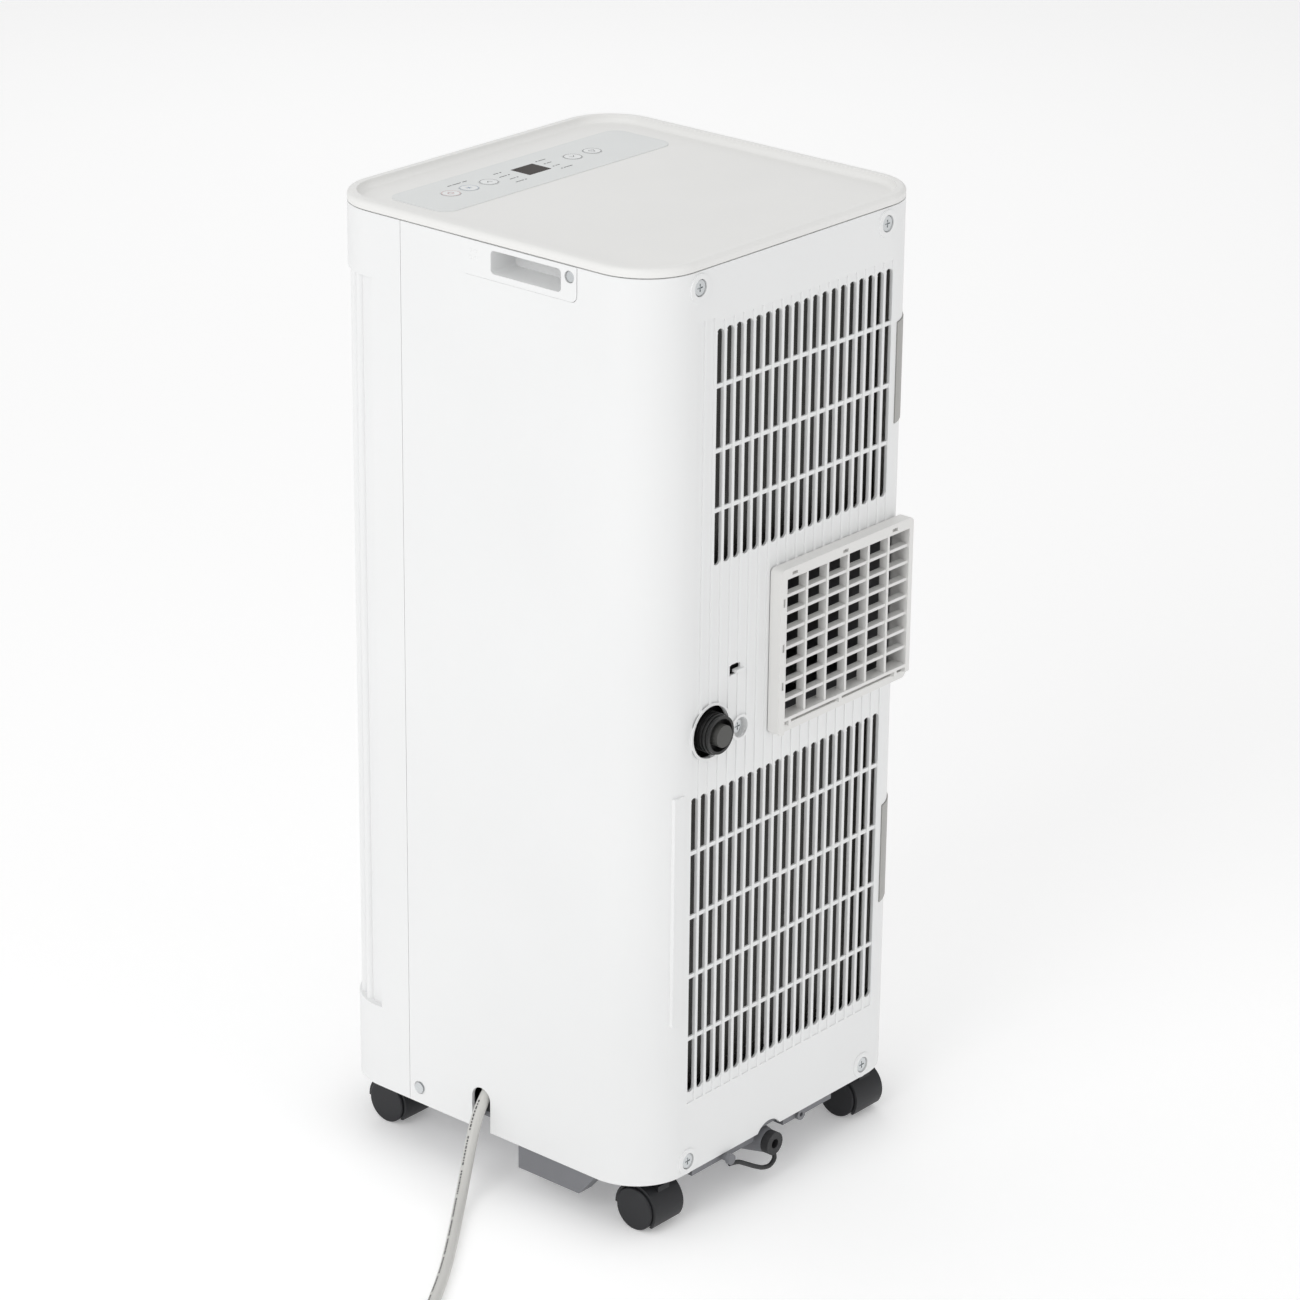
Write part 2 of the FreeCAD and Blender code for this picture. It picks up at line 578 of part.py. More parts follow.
def refrigeration():
    """Compressor, accumulator, both coils and the pipes between them."""
    can = rounded(rod(46, 172, (62, -62, 52)), 22, circular)
    feet = rod(52, 4, (62, -62, 46))
    node("compressor", fuse(can, feet, rod(6, 12, (62, -62, 46))))
    node("accumulator", rounded(rod(19, 110, (-8, -84, 70)), 9, circular))
    node("condenser_coil", span((-96, 100), (98, 124), (84, 326)))
    node("evaporator_coil", span((-96, 100), (98, 124), (492, 664)))
    riser = tube_along([(-8, -84, 180), (-8, -84, 210), (8, -66, 250), (20, -30, 290), (60, 20, 320),
                        (104, 60, 380), (108, 92, 440), (108, 108, 500)], 3.5)
    loop = tube_along([(62, -62, 224), (62, -62, 248), (78, -40, 272), (104, -4, 280), (112, 40, 276),
                       (110, 80, 262), (108, 108, 240)], 3)
    node("suction_pipe", feature("Suction", riser))
    node("discharge_pipe", feature("Discharge", loop))


def partition():
    """Drip tray between the warm and the cold half."""
    tray = hollow_box(("0-width/2+7", "width/2-7"), (-88, 118), (332, 346), 2.4, ("z+",))
    air_way = span((-118, 12), (52, 112), (320, 360))
    pipe_way = rod(16, 60, (74, 32, 310))
    return node("drip_tray", cut(tray, group([air_way, pipe_way])))


def ducts():
    """Exhaust duct up to the rear outlet, and the air way from the cold fan to the front."""
    node("exhaust_duct", hollow_box(("outlet_right+5", "outlet_left-5"), (50, 141), (346.4, 468), 2,
                                    ("y+", "z-")))
    node("air_duct", hollow_box(("0-throat_half-5.5", "throat_half+5.5"), (-118, 18),
                                ("throat_low-5.5", "throat_high+5.5"), 2, ("y+", "y-")))


def blower(prefix, x, y, z, width, wheel_radius, throat):
    """Centrifugal blower: scroll housing, bladed wheel and motor, all on one Y axis."""
    half = wheel_radius + 14
    housing = hollow_box((x - half, x + half), (y, y + width), (z - half, z + half), 2, throat)
    inlet = rod(wheel_radius - 12, 20, (x, y + width - 10, z), "y")
    shaft_hole = rod(9, 20, (x, y - 10, z), "y")
    node(f"{prefix}_scroll", cut(housing, fuse(inlet, shaft_hole)))
    disc = rod(wheel_radius, 2, (x, y + 6, z), "y")
    hub = rod(14, 26, (x, y + 6, z), "y")
    band = cut(rod(wheel_radius, 3, (x, y + width - 10, z), "y"),
               rod(wheel_radius - 10, 9, (x, y + width - 13, z), "y"))
    blades = []
    for i in range(20):
        turn = Rotation(Vector(0, 1, 0), 18 * i)
        offset = turn.multVec(Vector(wheel_radius - 9, 0, 0))
        blades.append(box((8.6, width - 15, 1.4), (x + offset.x, y + 7, z + offset.z), turn))
    wheel = fuse(disc, hub, band, *blades)
    shaft_bore = rod(4, 60, (x, y + 3, z), "y")
    node(f"{prefix}_wheel", cut(wheel, shaft_bore))
    can = rod(30, 34, (x, y - 36, z), "y")
    shaft = rod(3.95, 36, (x, y - 6, z), "y")
    node(f"{prefix}_motor", fuse(rounded(can, 4, circular), shaft))


def electrics():
    """Control box under the tray, and the fan and compressor capacitor."""
    node("control_box", rounded(span((-70, 70), (-52, 14), (656, 684)), 3, upright))
    node("capacitor", rounded(rod(17, 66, (-112, -70, 74)), 3, circular))


def filters():
    """Two slide-out mesh filters, each a frame with bars and a pull tab at the corner."""
    y = ("filter_y", "filter_y+filter_thick")
    rows = {"filter_upper": (482, "filter_top"), "filter_lower": (96, "filter_mid")}
    for (name, (low, high)), (tab_low, tab_high) in zip(rows.items(), TAB_HEIGHTS):
        frame = cut(span((-134, 104), y, (low, high)),
                    span((-100, 98), ("filter_y-1", "filter_y+filter_thick+1"), (f"{low}+6", f"{high}-6")))
        sheet_of_mesh = span((-101, 99), ("filter_y+1.2", "filter_y+2"), (f"{low}+5", f"{high}-5"))
        bars = [span((x - 1, x + 1), y, (f"{low}+5", f"{high}-5")) for x in (-50, 0, 50)]
        tongue = span((-137.5, -133), y, (tab_low, tab_high))
        tab = corner_skin(-0.8, 1.2, -114, tab_low, tab_high)
        tab = common(tab, span((-160, 0), (118, 160), (tab_low, tab_high)))
        node(name, fuse(frame, sheet_of_mesh, *bars, tongue, tab))


def fasteners():
    """Pan-head screws: four on the rear, one by the drain, and those on the sides."""
    screws = []
    for x in ("screw_x", "0-screw_x"):
        for z in ("screw_low", "screw_high"):
            screws.append(screw("head_radius", 2.2, (x, "depth/2-2", z), "y", -8))
    screws.append(screw(4.4, 1.8, (49.1, "depth/2-4", 362.9), "y", -8))
    node("rear_screws", group(screws))
    sides = []
    for side in (1, -1):
        seat = "width/2-1.2" if side > 0 else "0-width/2+1.2-2"
        sides.append(rod(4, 2, (seat, -64.2, 51.3), "x"))
        seat = "width/2-2.4" if side > 0 else "0-width/2+2.4-1.8"
        sides.append(rod(3.6, 1.8, (seat, 77.7, 689.6), "x"))
    node("side_screws", group(sides))


def screw(radius, head, seat, axis, shank):
    cap = rod(radius, head, seat, axis)
    base = list(seat)
    base[1] = f"{seat[1]}{shank}"
    stem = rod(1.6, 8.5, base, axis)
    slot_a = box((1.1, 3, 5.4), (f"{seat[0]}-0.55", f"{seat[1]}+{head}-1", f"{seat[2]}-2.7"))
    slot_b = box((5.4, 3, 1.1), (f"{seat[0]}-2.7", f"{seat[1]}+{head}-1", f"{seat[2]}-0.55"))
    return cut(fuse(cap, stem), fuse(slot_a, slot_b))


# ---------------------------------------------------------------- mains cord

def tube_along(points, radius, report=False):
    """A round tube along straight runs joined by arcs that are as large as the runs allow."""
    points = [Vector(*p) for p in points]
    edges = []
    radii = []
    start = points[0]
    for before, here, after in zip(points, points[1:], points[2:]):
        a, b = before - here, after - here
        shorter = min(a.Length, b.Length)
        turn = math.pi - a.getAngle(b)
        reach = 0.45 * shorter
        radii.append(reach / math.tan(turn / 2))
        a.normalize()
        b.normalize()
        first, last = here + a * reach, here + b * reach
        bisector = a + b
        bisector.normalize()
        centre = here + bisector * (radii[-1] / math.cos(turn / 2))
        middle = centre - bisector * radii[-1]
        edges.append(Part.LineSegment(start, first).toShape())
        edges.append(Part.Arc(first, middle, last).toShape())
        start = last
    edges.append(Part.LineSegment(start, points[-1]).toShape())
    path = Part.Wire(edges)
    ring = Part.Wire(Part.makeCircle(radius, points[0], points[1] - points[0]))
    tube = path.makePipeShell([ring], True, True)
    error = tube.Volume / (math.pi * radius * radius * path.Length) - 1
    if report:
        print("cord radii", [round(r) for r in radii], "length", round(path.Length),
              "volume error", round(error, 5))
    if abs(error) > 0.01:
        raise ValueError("a tube's volume doesn't match its length")
    return tube


CORD_ROUTE = [
    (138, -2.6, 70), (150, -1.6, 60), (161, 0.4, 38), (174, 6.5, 18.5), (195, 20, 6),
    (230, 46.5, 4.6), (268, 74.5, 4.6), (306, 98.5, 4.6), (348.6, 124.6, 4.6), (372, 138.3, 4.6),
]
TAIL_ROUTE = [(372, 246.4, 21), (352, 252.2, 19.2), (333, 257.2, 18.6), (314, 262.6, 18.6)]


def mains_cord():
    """Clamp and strain relief inside the notch, the cord, its stored coil, and the plug."""
    start = Vector(*CORD_ROUTE[0])
    heading = Vector(*CORD_ROUTE[1]) - start
    heading.normalize()
    relief = Part.makeCone(7, D["cord_radius"] + 0.9, 26, start - heading * 26, heading)
    node("cord_gland", feature("Gland", relief))
    foot = Part.makeBox(26, 22, 62, Vector(96, -16, 44.2))
    boss = Part.makeCylinder(9, 30, start - heading * 56, heading)
    clear = Part.makeCylinder(30, 60, start - heading * 26, heading)
    node("cord_clamp", feature("Clamp", foot.fuse(boss).cut(clear).removeSplitter()))
    node("power_cord", feature("Cord", tube_along(CORD_ROUTE, D["cord_radius"], True)))
    centre = ("coil_x", "coil_y", 0.1)
    ring = cut(rod("coil_middle+coil_half", "coil_height", centre),
               rod("coil_middle-coil_half", "coil_height+2", ("coil_x", "coil_y", -1)))
    node("cord_coil", rounded(ring, 5, circular))
    node("cord_tail", feature("Tail", tube_along(TAIL_ROUTE, D["cord_radius"], True)))
    mains_plug()


def mains_plug():
    """Round two-pin plug lying on the floor at the cord's end."""
    end = Vector(*TAIL_ROUTE[-1])
    out = end - Vector(*TAIL_ROUTE[-2])
    out.z = 0
    out.normalize()
    relief = Part.makeCone(5.4, 8, 14, end, out)
    neck = Part.makeCone(9.5, 15, 16, end + out * 14, out)
    disc = Part.makeCylinder(D["plug_radius"], 12, end + out * 30, out)
    body = relief.fuse(neck).fuse(disc).removeSplitter()
    node("mains_plug", feature("Plug", body))
    side = out.cross(Vector(0, 0, 1))
    pins = [Part.makeCylinder(2.4, 19, end + out * 42 + side * step, out) for step in (-9.5, 9.5)]
    node("plug_pins", feature("Pins", Part.makeCompound(pins)))


# ---------------------------------------------------------------- assembly

def build():
    rear_casing()
    front_panel()
    louvres()
    top_cover()
    controls()
    carry_handle("carry_handle_right", 1)
    carry_handle("carry_handle_left", -1)
    exhaust_frame()
    upper_drain()
    lower_drain()
    base_pan()
    places = ((1, 1), (-1, 1), (1, -1), (-1, -1))
    for index, (sign_x, sign_y) in enumerate(places, start=1):
        castor(index, sign_x, sign_y)
    refrigeration()
    partition()
    ducts()
    blower("evaporator_fan", 0, 20, 578, 66, 72, ("y-",))
    blower("condenser_fan", -52, 10, 220, 70, 74, ("z+",))
    electrics()
    filters()
    fasteners()
    mains_cord()


def write():
    doc.recompute()
    failed = [thing.Label for thing in doc.Objects if "Invalid" in thing.State or "Error" in thing.State]
    if failed:
        raise ValueError(f"failed objects: {failed}")
    os.makedirs("parts", exist_ok=True)
    for thing in nodes:
        shape = thing.Shape
        if shape.isNull() or not shape.isValid() or not shape.Solids:
            raise ValueError(f"{thing.Label} has no valid solid")
        shape.exportStep(f"parts/{thing.Label}.step")
    print(len(nodes), "sub-parts")


build()
write()
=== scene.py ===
import json
import math

import bmesh
import bpy
from mathutils import Matrix, Vector


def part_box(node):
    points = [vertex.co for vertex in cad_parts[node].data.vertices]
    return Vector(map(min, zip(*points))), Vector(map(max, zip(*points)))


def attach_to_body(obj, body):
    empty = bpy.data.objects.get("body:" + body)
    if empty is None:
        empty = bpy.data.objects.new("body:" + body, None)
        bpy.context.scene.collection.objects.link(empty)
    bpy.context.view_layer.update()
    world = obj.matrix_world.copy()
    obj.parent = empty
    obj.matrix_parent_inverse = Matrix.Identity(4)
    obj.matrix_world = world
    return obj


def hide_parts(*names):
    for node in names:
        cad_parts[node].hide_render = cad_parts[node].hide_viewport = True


# Looks of the portable air conditioner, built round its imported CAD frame. Units are metres.
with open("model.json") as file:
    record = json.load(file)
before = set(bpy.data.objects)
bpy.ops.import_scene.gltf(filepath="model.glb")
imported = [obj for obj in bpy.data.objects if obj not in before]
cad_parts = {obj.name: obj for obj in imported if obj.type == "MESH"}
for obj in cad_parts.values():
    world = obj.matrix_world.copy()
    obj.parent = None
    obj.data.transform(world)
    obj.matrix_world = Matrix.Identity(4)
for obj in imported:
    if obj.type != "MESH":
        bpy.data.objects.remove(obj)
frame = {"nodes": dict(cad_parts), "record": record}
nodes = frame["nodes"]
scene = bpy.context.scene
MM = 0.001
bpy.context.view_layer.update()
TAB_EDGE = -0.1125  # the filters' pull tabs lie beyond this, to -X


# ---------------------------------------------------------------- camera, floor and light

def make_camera():
    """The view: from behind and above, over the cord's side."""
    azimuth, elevation, roll = math.radians(130.58), math.radians(22.08), math.radians(0.6)
    target = Vector((-0.0188, 0.0083, 0.361))
    back = Vector((math.sin(azimuth) * math.cos(elevation),
                   -math.cos(azimuth) * math.cos(elevation), math.sin(elevation)))
    right = Vector((0, 0, 1)).cross(back).normalized()
    up = back.cross(right)
    side = right * math.cos(roll) + up * math.sin(roll)
    top = up * math.cos(roll) - right * math.sin(roll)
    data = bpy.data.cameras.new("camera")
    data.sensor_width = 36
    data.lens = 123.64
    data.clip_end = 50
    camera = bpy.data.objects.new("camera", data)
    place = Matrix((side, top, back)).transposed().to_4x4()
    place.translation = target + back * 3.1666
    camera.matrix_world = place
    scene.collection.objects.link(camera)
    scene.camera = camera


def area_light(name, place, size, power, target=(0, 0, 0.35)):
    data = bpy.data.lights.new(name, "AREA")
    data.shape = "DISK"
    data.size = size
    data.energy = power
    light = bpy.data.objects.new(name, data)
    light.location = place
    light.rotation_euler = (Vector(target) - Vector(place)).to_track_quat("-Z", "Y").to_euler()
    scene.collection.objects.link(light)


def make_studio():
    """Pale floor, an even pale surround and four broad soft lights."""
    bpy.ops.mesh.primitive_plane_add(size=14, location=(0, 0, -0.0002))
    floor = bpy.context.object
    floor.name = "studio_floor"
    paint = bpy.data.materials.new("studio_floor")
    paint.use_nodes = True
    shader = paint.node_tree.nodes["Principled BSDF"]
    shader.inputs["Base Color"].default_value = (0.93, 0.93, 0.93, 1)
    shader.inputs["Roughness"].default_value = 0.8
    shader.inputs["Emission Color"].default_value = (1, 1, 1, 1)
    shader.inputs["Emission Strength"].default_value = 0.22
    floor.data.materials.append(paint)
    world = bpy.data.worlds.new("studio")
    world.use_nodes = True
    world.node_tree.nodes["Background"].inputs["Color"].default_value = (1, 1, 1, 1)
    world.node_tree.nodes["Background"].inputs["Strength"].default_value = 0.66
    scene.world = world
    area_light("key_light", (2.6, 0.3, 1.9), 1.8, 22)
    area_light("rear_light", (-0.4, 3.0, 1.6), 1.8, 6)
    area_light("top_light", (0.2, -0.2, 3.2), 2.0, 4.4)
    area_light("front_light", (-2.2, -2.2, 1.8), 1.8, 5)
    scene.view_settings.view_transform = "Standard"


# ---------------------------------------------------------------- materials

def new_material(name, color, roughness, metallic=0.0):
    material = bpy.data.materials.new(name)
    material.use_nodes = True
    shader = material.node_tree.nodes["Principled BSDF"]
    shader.inputs["Base Color"].default_value = (*color, 1)
    shader.inputs["Roughness"].default_value = roughness
    shader.inputs["Metallic"].default_value = metallic
    return material, material.node_tree, shader


def add_node(tree, kind, **settings):
    made = tree.nodes.new(kind)
    for name, value in settings.items():
        if name in made.inputs:
            made.inputs[name].default_value = value
        else:
            setattr(made, name.lower(), value)
    return made


def mix_colours(tree, factor, first, second):
    """One colour or the other by a factor; each is a plain colour or another node's output."""
    mix = add_node(tree, "ShaderNodeMix", data_type="RGBA")
    tree.links.new(factor, mix.inputs[0])
    for socket, colour in ((mix.inputs[6], first), (mix.inputs[7], second)):
        if isinstance(colour, tuple):
            socket.default_value = (*colour, 1)
        else:
            tree.links.new(colour, socket)
    return mix.outputs[2]


def grain(tree, shader, scale, height):
    """Fine moulded or sprayed grain as bump."""
    place = add_node(tree, "ShaderNodeTexCoord")
    noise = add_node(tree, "ShaderNodeTexNoise", Scale=scale, Detail=3.0)
    bump = add_node(tree, "ShaderNodeBump", Strength=0.35, Distance=height)
    tree.links.new(place.outputs["Object"], noise.inputs["Vector"])
    tree.links.new(noise.outputs["Fac"], bump.inputs["Height"])
    tree.links.new(bump.outputs["Normal"], shader.inputs["Normal"])
    return place


def mottle(tree, shader, place, dark, light, scale):
    """Slow, slight change of colour over a surface."""
    noise = add_node(tree, "ShaderNodeTexNoise", Scale=scale, Detail=4.0)
    ramp = add_node(tree, "ShaderNodeValToRGB")
    ramp.color_ramp.elements[0].position = 0.35
    ramp.color_ramp.elements[0].color = (*dark, 1)
    ramp.color_ramp.elements[1].position = 0.65
    ramp.color_ramp.elements[1].color = (*light, 1)
    tree.links.new(place.outputs["Object"], noise.inputs["Vector"])
    tree.links.new(noise.outputs["Fac"], ramp.inputs["Fac"])
    tree.links.new(ramp.outputs["Color"], shader.inputs["Base Color"])


def uneven_gloss(tree, shader, place, low, high, scale):
    """Roughness that varies a little, as handled plastic or metal does."""
    noise = add_node(tree, "ShaderNodeTexNoise", Scale=scale, Detail=5.0)
    spread = add_node(tree, "ShaderNodeMapRange")
    spread.inputs["To Min"].default_value = low
    spread.inputs["To Max"].default_value = high
    tree.links.new(place.outputs["Object"], noise.inputs["Vector"])
    tree.links.new(noise.outputs["Fac"], spread.inputs["Value"])
    tree.links.new(spread.outputs["Result"], shader.inputs["Roughness"])


def moulded(name, color, roughness, grain_scale=900, grain_height=0.00004, spread=0.012, metallic=0.0,
            specular=0.5):
    """Moulded plastic: slight colour drift, fine grain and uneven gloss."""
    material, tree, shader = new_material(name, color, roughness, metallic)
    shader.inputs["Specular IOR Level"].default_value = specular
    place = grain(tree, shader, grain_scale, grain_height)
    dark = [max(0, c - spread) for c in color]
    light = [min(1, c + spread * 0.4) for c in color]
    mottle(tree, shader, place, dark, light, 6)
    uneven_gloss(tree, shader, place, roughness - 0.05, roughness + 0.05, 40)
    return material


def slot_materials():
    made = {
        "white_shell": moulded("white_shell", (0.86, 0.865, 0.865), 0.42),
        "tray_white": moulded("tray_white", (0.85, 0.848, 0.833), 0.5, 1400, 0.00005),
        "louvre_white": moulded("louvre_white", (0.85, 0.855, 0.855), 0.4),
        "outlet_white": moulded("outlet_white", (0.80, 0.795, 0.78), 0.42),
        "overlay_film": moulded("overlay_film", (0.735, 0.752, 0.748), 0.38, 2500, 0.00001, 0.004,
                                specular=0.25),
        "display_smoke": moulded("display_smoke", (0.026, 0.018, 0.015), 0.4, 2500, 0.000004, 0.003,
                                 specular=0.06),
        "key_white": moulded("key_white", (0.75, 0.765, 0.765), 0.3, 2500, 0.00001, 0.004),
        "circuit_board": moulded("circuit_board", (0.03, 0.16, 0.07), 0.4, 600, 0.00002),
        "pan_grey": moulded("pan_grey", (0.195, 0.198, 0.212), 0.55, 700, 0.00008),
        "castor_black": moulded("castor_black", (0.022, 0.0225, 0.025), 0.45, 800, 0.00003, 0.004,
                                specular=0.3),
        "filter_grey": filter_net(),
        "drain_black": moulded("drain_black", (0.012, 0.012, 0.012), 0.4, 900, 0.00003, 0.004),
        "drain_rubber": moulded("drain_rubber", (0.022, 0.022, 0.024), 0.55, 900, 0.00005, 0.006),
        "plug_green": moulded("plug_green", (0.078, 0.078, 0.074), 0.5, 900, 0.00003, 0.01),
        "screw_steel": moulded("screw_steel", (0.62, 0.64, 0.65), 0.25, 2000, 0.00001, 0.05, 1.0),
        "compressor_black": moulded("compressor_black", (0.02, 0.02, 0.022), 0.35, 300, 0.00005, 0.005),
        "copper_pipe": moulded("copper_pipe", (0.72, 0.36, 0.22), 0.3, 1500, 0.00001, 0.06, 1.0),
        "foam_grey": moulded("foam_grey", (0.12, 0.12, 0.125), 0.8, 500, 0.0002),
        "fan_plastic": moulded("fan_plastic", (0.04, 0.04, 0.042), 0.45),
        "motor_steel": moulded("motor_steel", (0.34, 0.35, 0.36), 0.35, 1500, 0.00001, 0.03, 1.0),
        "electric_box": moulded("electric_box", (0.07, 0.07, 0.075), 0.5),
        "cord_grey": moulded("cord_grey", (0.62, 0.615, 0.59), 0.42, 1200, 0.00002, 0.02),
        "pin_chrome": moulded("pin_chrome", (0.75, 0.75, 0.74), 0.18, 2500, 0.000005, 0.03, 1.0),
        "coil_fins": coil_fins(),
    }
    for entry in frame["record"]["subparts"]:
        piece = nodes[entry["node"]]
        piece.data.materials.clear()
        piece.data.materials.append(made[entry["material_slot"]])
    return made


def filter_net():
    """Filter: a pull tab at the casing's corner in flat grey, which is painted shade, and fine dark net
    in a frame behind the slots.
    """
    # The mid grey here and in the mix below is painted shade on the pull tabs' shaded side, not a
    # plastic colour.
    material, tree, shader = new_material("filter_grey", (0.40, 0.395, 0.38), 0.5)
    place = grain(tree, shader, 900, 0.00004)
    parts = add_node(tree, "ShaderNodeSeparateXYZ")
    tree.links.new(place.outputs["Object"], parts.inputs["Vector"])
    net = None
    for axis in ("X", "Z"):
        cell = add_node(tree, "ShaderNodeMath", operation="PINGPONG")
        cell.inputs[1].default_value = 0.0006
        thread = add_node(tree, "ShaderNodeMath", operation="LESS_THAN")
        thread.inputs[1].default_value = 0.00016
        tree.links.new(parts.outputs[axis], cell.inputs[0])
        tree.links.new(cell.outputs[0], thread.inputs[0])
        if net:
            joined = add_node(tree, "ShaderNodeMath", operation="MAXIMUM")
            tree.links.new(net.outputs[0], joined.inputs[0])
            tree.links.new(thread.outputs[0], joined.inputs[1])
            thread = joined
        net = thread
    threads = mix_colours(tree, net.outputs[0], (0.012, 0.011, 0.010), (0.045, 0.042, 0.038))
    # Beyond TAB_EDGE the pull tabs take the flat mid grey: painted shade on their shaded side.
    tab = add_node(tree, "ShaderNodeMath", operation="LESS_THAN")
    tab.inputs[1].default_value = TAB_EDGE
    tree.links.new(parts.outputs["X"], tab.inputs[0])
    net_and_tab_shade = mix_colours(tree, tab.outputs[0], threads, (0.40, 0.395, 0.38))
    tree.links.new(net_and_tab_shade, shader.inputs["Base Color"])
    return material


def coil_fins():
    """Heat exchanger: close upright aluminium fins, with painted shade darkening the gaps between them.
    """
    material, tree, shader = new_material("coil_fins", (0.5, 0.5, 0.51), 0.4, 0.9)
    place = add_node(tree, "ShaderNodeTexCoord")
    wave = add_node(tree, "ShaderNodeTexWave", Scale=110.0)
    wave.bands_direction = "X"
    ramp = add_node(tree, "ShaderNodeValToRGB")
    # Dark end of the ramp: painted shade in the gaps between fins; light end: the fins' own metal.
    ramp.color_ramp.elements[0].color = (0.05, 0.05, 0.055, 1)
    ramp.color_ramp.elements[1].color = (0.6, 0.61, 0.62, 1)
    bump = add_node(tree, "ShaderNodeBump", Strength=1.0, Distance=0.001)
    tree.links.new(place.outputs["Object"], wave.inputs["Vector"])
    tree.links.new(wave.outputs["Fac"], ramp.inputs["Fac"])
    tree.links.new(wave.outputs["Fac"], bump.inputs["Height"])
    tree.links.new(ramp.outputs["Color"], shader.inputs["Base Color"])
    tree.links.new(bump.outputs["Normal"], shader.inputs["Normal"])
    return material


# ---------------------------------------------------------------- piece helpers

def attach(piece, body, material):
    """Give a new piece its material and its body."""
    piece.data.materials.append(material)
    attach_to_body(piece, body)
    return piece


def soften(piece):
    """Weld a CAD mesh's split edges and round its sharp ones a little."""
    weld = piece.modifiers.new("weld", "WELD")
    weld.merge_threshold = 0.00001
    bevel = piece.modifiers.new("soft_edges", "BEVEL")
    bevel.width = 0.5 * MM
    bevel.segments = 2
    bevel.limit_method = "ANGLE"
    bevel.angle_limit = math.radians(40)
    for face in piece.data.polygons:
        face.use_smooth = True
    piece.modifiers.new("normals", "WEIGHTED_NORMAL")


def curve_piece(name, points, radius, resolution=12):
    """A round tube along one open NURBS spline, whose control points are in millimetres."""
    data = bpy.data.curves.new(name, "CURVE")
    data.dimensions = "3D"
    spline = data.splines.new("NURBS")
    spline.points.add(len(points) - 1)
    for point, place in zip(spline.points, points):
        point.co = (*(Vector(place) * MM), 1)
    spline.order_u = 3
    spline.use_endpoint_u = True
    data.resolution_u = resolution
    data.bevel_depth = radius
    data.bevel_resolution = 6
    data.use_fill_caps = True
    piece = bpy.data.objects.new(name, data)
    scene.collection.objects.link(piece)
    return piece


# ---------------------------------------------------------------- mains cord

CORD_RADIUS = 4.4 * MM
CORD_ROUTE = [
    (138, -2.6, 70), (150, -1.6, 60), (161, 0.4, 38), (174, 6.5, 18.5), (195, 20, 6),
    (230, 46.5, 4.6), (268, 74.5, 4.6), (306, 98.5, 4.6), (348.6, 124.6, 4.6), (372, 138.3, 4.6),
]
TAIL_ROUTE = [(352, 252.2, 19.2), (333, 257.2, 18.6), (314, 262.6, 18.6)]
COIL_CENTRE = (363.7, 196.8)
COIL_START = -59.7
COIL_TURNS = 4.37
COIL_TIE_AT = 205
# Where the turns lie: turns from the start, distance from the centre, height
COIL_LAY = [
    (0.0, 54.6, 4.6), (0.85, 54.6, 4.6), (1.0, 45.4, 4.6), (1.65, 45.4, 4.6), (1.85, 45.4, 13.6),
    (2.45, 45.4, 13.6), (2.65, 54.6, 13.6), (3.25, 54.6, 13.6), (3.47, 50.0, 22.6), (3.65, 50.0, 22.6),
    (3.8, 50.0, 21.3), (4.5, 50.0, 21.3),
]


def coil_lay(turns):
    for before, after in zip(COIL_LAY, COIL_LAY[1:]):
        if turns <= after[0]:
            part = (turns - before[0]) / (after[0] - before[0])
            part = part * part * (3 - 2 * part)
            return [a + (b - a) * part for a, b in zip(before[1:], after[1:])]
    return COIL_LAY[-1][1:]


def coil_points():
    """Control points of the stored turns, a little outside the cord's own line."""
    per_turn = 16
    spread = 8 / (6 + 2 * math.cos(2 * math.pi / per_turn))
    count = round(COIL_TURNS * per_turn)
    for i in range(1, count):
        turns = i * COIL_TURNS / count
        radius, height = coil_lay(turns)
        angle = math.radians(COIL_START) + turns * 2 * math.pi
        yield (COIL_CENTRE[0] + radius * spread * math.cos(angle),
               COIL_CENTRE[1] + radius * spread * math.sin(angle), height)


ROUTE = [*CORD_ROUTE, *coil_points(), *TAIL_ROUTE]


def make_cord():
    """The whole cord as one curve, in place of its CAD stretches."""
    laid_with = [nodes["mains_plug"], nodes["plug_pins"], cord_marks(), coil_tie()]
    cord = curve_piece("mains_cord", ROUTE, CORD_RADIUS)
    attach(cord, "casing", slots["cord_grey"])
    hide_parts("power_cord", "cord_coil", "cord_tail")


def cord_line():
    """Points along the cord's smooth line, with the distance run at each."""
    thread = curve_piece("cord_line", ROUTE, 0, resolution=24)
    thread.data.use_fill_caps = False
    mesh = bpy.data.meshes.new_from_object(thread)
    points = [v.co.copy() for v in mesh.vertices]
    bpy.data.objects.remove(thread)
    bpy.data.meshes.remove(mesh)
    run = [0.0]
    for before, after in zip(points, points[1:]):
        run.append(run[-1] + (after - before).length)
    return points, run


